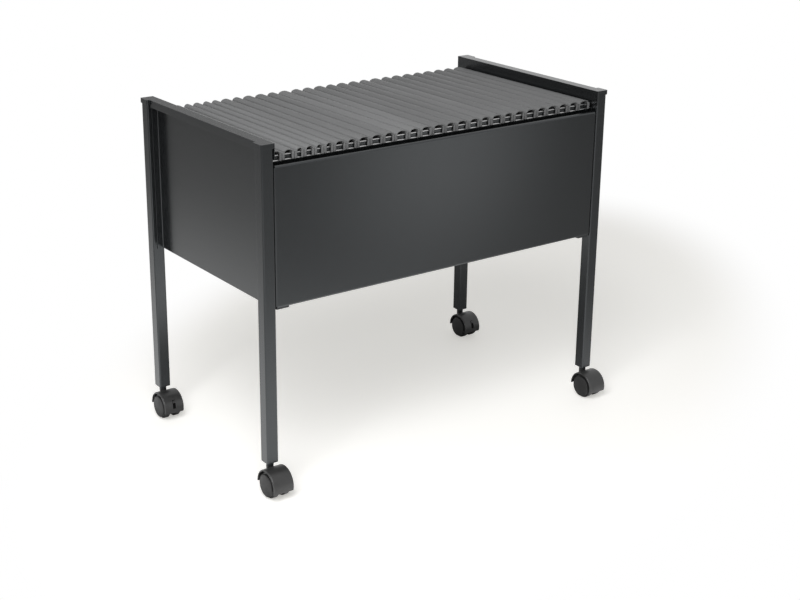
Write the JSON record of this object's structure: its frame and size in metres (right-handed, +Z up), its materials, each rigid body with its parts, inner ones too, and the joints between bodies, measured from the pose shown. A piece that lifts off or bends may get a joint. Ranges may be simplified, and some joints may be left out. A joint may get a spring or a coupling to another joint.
{
  "type": "mobile file cart",
  "caption": "Wheeled office cart of square steel legs and dark sheet panels, with rails carrying a row of lift-out suspension files; hooded swivel castors, the back pair with brakes.",
  "frame": {"origin": "on the floor, under the middle of the cart's bounding box", "axes": "+X along the cart to its right end, +Y from the front panel to the back panel, +Z up"},
  "size_m": [0.696, 0.405, 0.555],
  "materials": {
    "frame": "satin dark grey powder coat",
    "panel": "satin dark grey powder coat on sheet steel",
    "rail": "bright zinc plate",
    "file": "grey polypropylene, fine matt grain",
    "castor": "black moulded nylon, slight sheen",
    "wheel": "dark grey moulded nylon tread and disc",
    "steel": "black zinc-plated steel"
  },
  "bodies": {
    "frame": {"leg_front_left": "frame", "castor_stem_front_left": "steel", "leg_front_right": "frame", "castor_stem_front_right": "steel", "leg_back_left": "frame", "castor_stem_back_left": "steel", "leg_back_right": "frame", "castor_stem_back_right": "steel", "top_rail_left": "frame", "end_panel_left": "panel", "top_rail_right": "frame", "end_panel_right": "panel", "front_panel": "panel", "hanging_rail_front": "rail", "back_panel": "panel", "hanging_rail_back": "rail"},
    "castor_front_left": {"castor_hood_front_left": "castor"},
    "wheel_front_left_left": {"wheel_front_left_left": "wheel"},
    "wheel_front_left_right": {"wheel_front_left_right": "wheel"},
    "castor_front_right": {"castor_hood_front_right": "castor"},
    "wheel_front_right_left": {"wheel_front_right_left": "wheel"},
    "wheel_front_right_right": {"wheel_front_right_right": "wheel"},
    "castor_back_left": {"castor_hood_back_left": "castor"},
    "wheel_back_left_left": {"wheel_back_left_left": "wheel"},
    "wheel_back_left_right": {"wheel_back_left_right": "wheel"},
    "brake_back_left": {"brake_lever_back_left": "castor"},
    "castor_back_right": {"castor_hood_back_right": "castor"},
    "wheel_back_right_left": {"wheel_back_right_left": "wheel"},
    "wheel_back_right_right": {"wheel_back_right_right": "wheel"},
    "brake_back_right": {"brake_lever_back_right": "castor"},
    "file_01": {"file_01": "file"},
    "file_02": {"file_02": "file"},
    "file_03": {"file_03": "file"},
    "file_04": {"file_04": "file"},
    "file_05": {"file_05": "file"},
    "file_06": {"file_06": "file"},
    "file_07": {"file_07": "file"},
    "file_08": {"file_08": "file"},
    "file_09": {"file_09": "file"},
    "file_10": {"file_10": "file"},
    "file_11": {"file_11": "file"},
    "file_12": {"file_12": "file"},
    "file_13": {"file_13": "file"},
    "file_14": {"file_14": "file"},
    "file_15": {"file_15": "file"},
    "file_16": {"file_16": "file"},
    "file_17": {"file_17": "file"},
    "file_18": {"file_18": "file"},
    "file_19": {"file_19": "file"},
    "file_20": {"file_20": "file"},
    "file_21": {"file_21": "file"},
    "file_22": {"file_22": "file"},
    "file_23": {"file_23": "file"},
    "file_24": {"file_24": "file"},
    "file_25": {"file_25": "file"},
    "file_26": {"file_26": "file"},
    "file_27": {"file_27": "file"},
    "file_28": {"file_28": "file"}
  },
  "joints": [
    {"name": "swivel_front_left", "type": "hinge", "parent": "frame", "child": "castor_front_left", "pos_m": [-0.328, -0.16105, 0.046], "axis": [0, 0, 1], "continuous": true},
    {"name": "wheel_spin_front_left_left", "type": "hinge", "parent": "castor_front_left", "child": "wheel_front_left_left", "pos_m": [-0.328, -0.17705, 0.021], "axis": [1, 0, 0], "continuous": true},
    {"name": "wheel_spin_front_left_right", "type": "hinge", "parent": "castor_front_left", "child": "wheel_front_left_right", "pos_m": [-0.328, -0.17705, 0.021], "axis": [1, 0, 0], "continuous": true},
    {"name": "swivel_front_right", "type": "hinge", "parent": "frame", "child": "castor_front_right", "pos_m": [0.328, -0.16105, 0.046], "axis": [0, 0, 1], "continuous": true},
    {"name": "wheel_spin_front_right_left", "type": "hinge", "parent": "castor_front_right", "child": "wheel_front_right_left", "pos_m": [0.328, -0.17705, 0.021], "axis": [1, 0, 0], "continuous": true},
    {"name": "wheel_spin_front_right_right", "type": "hinge", "parent": "castor_front_right", "child": "wheel_front_right_right", "pos_m": [0.328, -0.17705, 0.021], "axis": [1, 0, 0], "continuous": true},
    {"name": "swivel_back_left", "type": "hinge", "parent": "frame", "child": "castor_back_left", "pos_m": [-0.328, 0.19095, 0.046], "axis": [0, 0, 1], "continuous": true},
    {"name": "wheel_spin_back_left_left", "type": "hinge", "parent": "castor_back_left", "child": "wheel_back_left_left", "pos_m": [-0.328, 0.17495, 0.021], "axis": [1, 0, 0], "continuous": true},
    {"name": "wheel_spin_back_left_right", "type": "hinge", "parent": "castor_back_left", "child": "wheel_back_left_right", "pos_m": [-0.328, 0.17495, 0.021], "axis": [1, 0, 0], "continuous": true},
    {"name": "brake_press_back_left", "type": "hinge", "parent": "castor_back_left", "child": "brake_back_left", "pos_m": [-0.328, 0.16369, 0.0275], "axis": [1, 0, 0], "range_deg": [0, 20]},
    {"name": "swivel_back_right", "type": "hinge", "parent": "frame", "child": "castor_back_right", "pos_m": [0.328, 0.19095, 0.046], "axis": [0, 0, 1], "continuous": true},
    {"name": "wheel_spin_back_right_left", "type": "hinge", "parent": "castor_back_right", "child": "wheel_back_right_left", "pos_m": [0.328, 0.17495, 0.021], "axis": [1, 0, 0], "continuous": true},
    {"name": "wheel_spin_back_right_right", "type": "hinge", "parent": "castor_back_right", "child": "wheel_back_right_right", "pos_m": [0.328, 0.17495, 0.021], "axis": [1, 0, 0], "continuous": true},
    {"name": "brake_press_back_right", "type": "hinge", "parent": "castor_back_right", "child": "brake_back_right", "pos_m": [0.328, 0.16369, 0.0275], "axis": [1, 0, 0], "range_deg": [0, 20]},
    {"name": "lift_file_01", "type": "slide", "parent": "frame", "child": "file_01", "axis": [0, 0, 1], "range_m": [0, 0.24]},
    {"name": "lift_file_02", "type": "slide", "parent": "frame", "child": "file_02", "axis": [0, 0, 1], "range_m": [0, 0.24]},
    {"name": "lift_file_03", "type": "slide", "parent": "frame", "child": "file_03", "axis": [0, 0, 1], "range_m": [0, 0.24]},
    {"name": "lift_file_04", "type": "slide", "parent": "frame", "child": "file_04", "axis": [0, 0, 1], "range_m": [0, 0.24]},
    {"name": "lift_file_05", "type": "slide", "parent": "frame", "child": "file_05", "axis": [0, 0, 1], "range_m": [0, 0.24]},
    {"name": "lift_file_06", "type": "slide", "parent": "frame", "child": "file_06", "axis": [0, 0, 1], "range_m": [0, 0.24]},
    {"name": "lift_file_07", "type": "slide", "parent": "frame", "child": "file_07", "axis": [0, 0, 1], "range_m": [0, 0.24]},
    {"name": "lift_file_08", "type": "slide", "parent": "frame", "child": "file_08", "axis": [0, 0, 1], "range_m": [0, 0.24]},
    {"name": "lift_file_09", "type": "slide", "parent": "frame", "child": "file_09", "axis": [0, 0, 1], "range_m": [0, 0.24]},
    {"name": "lift_file_10", "type": "slide", "parent": "frame", "child": "file_10", "axis": [0, 0, 1], "range_m": [0, 0.24]},
    {"name": "lift_file_11", "type": "slide", "parent": "frame", "child": "file_11", "axis": [0, 0, 1], "range_m": [0, 0.24]},
    {"name": "lift_file_12", "type": "slide", "parent": "frame", "child": "file_12", "axis": [0, 0, 1], "range_m": [0, 0.24]},
    {"name": "lift_file_13", "type": "slide", "parent": "frame", "child": "file_13", "axis": [0, 0, 1], "range_m": [0, 0.24]},
    {"name": "lift_file_14", "type": "slide", "parent": "frame", "child": "file_14", "axis": [0, 0, 1], "range_m": [0, 0.24]},
    {"name": "lift_file_15", "type": "slide", "parent": "frame", "child": "file_15", "axis": [0, 0, 1], "range_m": [0, 0.24]},
    {"name": "lift_file_16", "type": "slide", "parent": "frame", "child": "file_16", "axis": [0, 0, 1], "range_m": [0, 0.24]},
    {"name": "lift_file_17", "type": "slide", "parent": "frame", "child": "file_17", "axis": [0, 0, 1], "range_m": [0, 0.24]},
    {"name": "lift_file_18", "type": "slide", "parent": "frame", "child": "file_18", "axis": [0, 0, 1], "range_m": [0, 0.24]},
    {"name": "lift_file_19", "type": "slide", "parent": "frame", "child": "file_19", "axis": [0, 0, 1], "range_m": [0, 0.24]},
    {"name": "lift_file_20", "type": "slide", "parent": "frame", "child": "file_20", "axis": [0, 0, 1], "range_m": [0, 0.24]},
    {"name": "lift_file_21", "type": "slide", "parent": "frame", "child": "file_21", "axis": [0, 0, 1], "range_m": [0, 0.24]},
    {"name": "lift_file_22", "type": "slide", "parent": "frame", "child": "file_22", "axis": [0, 0, 1], "range_m": [0, 0.24]},
    {"name": "lift_file_23", "type": "slide", "parent": "frame", "child": "file_23", "axis": [0, 0, 1], "range_m": [0, 0.24]},
    {"name": "lift_file_24", "type": "slide", "parent": "frame", "child": "file_24", "axis": [0, 0, 1], "range_m": [0, 0.24]},
    {"name": "lift_file_25", "type": "slide", "parent": "frame", "child": "file_25", "axis": [0, 0, 1], "range_m": [0, 0.24]},
    {"name": "lift_file_26", "type": "slide", "parent": "frame", "child": "file_26", "axis": [0, 0, 1], "range_m": [0, 0.24]},
    {"name": "lift_file_27", "type": "slide", "parent": "frame", "child": "file_27", "axis": [0, 0, 1], "range_m": [0, 0.24]},
    {"name": "lift_file_28", "type": "slide", "parent": "frame", "child": "file_28", "axis": [0, 0, 1], "range_m": [0, 0.24]}
  ]
}
